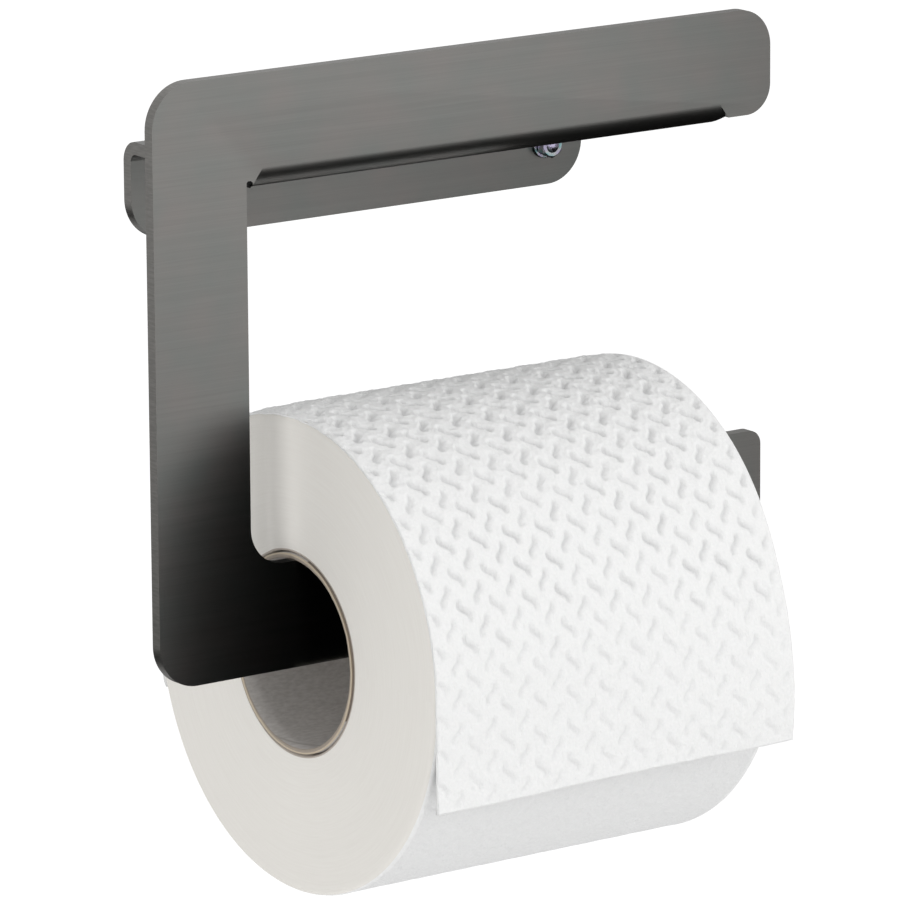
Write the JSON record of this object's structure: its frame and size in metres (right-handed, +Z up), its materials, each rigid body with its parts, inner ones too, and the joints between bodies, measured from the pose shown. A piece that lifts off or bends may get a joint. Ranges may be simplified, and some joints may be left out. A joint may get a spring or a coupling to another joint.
{
  "type": "toilet paper holder",
  "caption": "Wall-mounted toilet paper holder folded from one brushed steel sheet, with a paper roll hanging on its open-ended lower arm.",
  "frame": {"origin": "on the wall's face, midway between the two studs that hold the bracket", "axes": "+X runs right along the wall seen from the room, +Y points into the wall, +Z up; the roll turns about an axis along X"},
  "size_m": [0.1735, 0.1185, 0.1907],
  "materials": {
    "brushed_sheet": "satin",
    "clear_plastic": "gloss",
    "zinc_plating": "satin",
    "core_board": "matte",
    "wound_tissue": "matte",
    "quilted_tissue": "matte"
  },
  "bodies": {
    "holder": {"bracket": "brushed_sheet", "wall_adapter_left": "clear_plastic", "wall_adapter_right": "clear_plastic", "stud_left": "zinc_plating", "stud_right": "zinc_plating", "washer_left": "zinc_plating", "washer_right": "zinc_plating", "nut_left": "zinc_plating", "nut_right": "zinc_plating"},
    "roll": {"core_tube": "core_board", "paper_roll": "wound_tissue", "paper_tail": "quilted_tissue"}
  },
  "joints": [
    {"name": "roll_spin", "type": "hinge", "parent": "holder", "child": "roll", "pos_m": [-0.008, -0.0588, -0.0976], "axis": [1, 0, 0], "continuous": true}
  ]
}
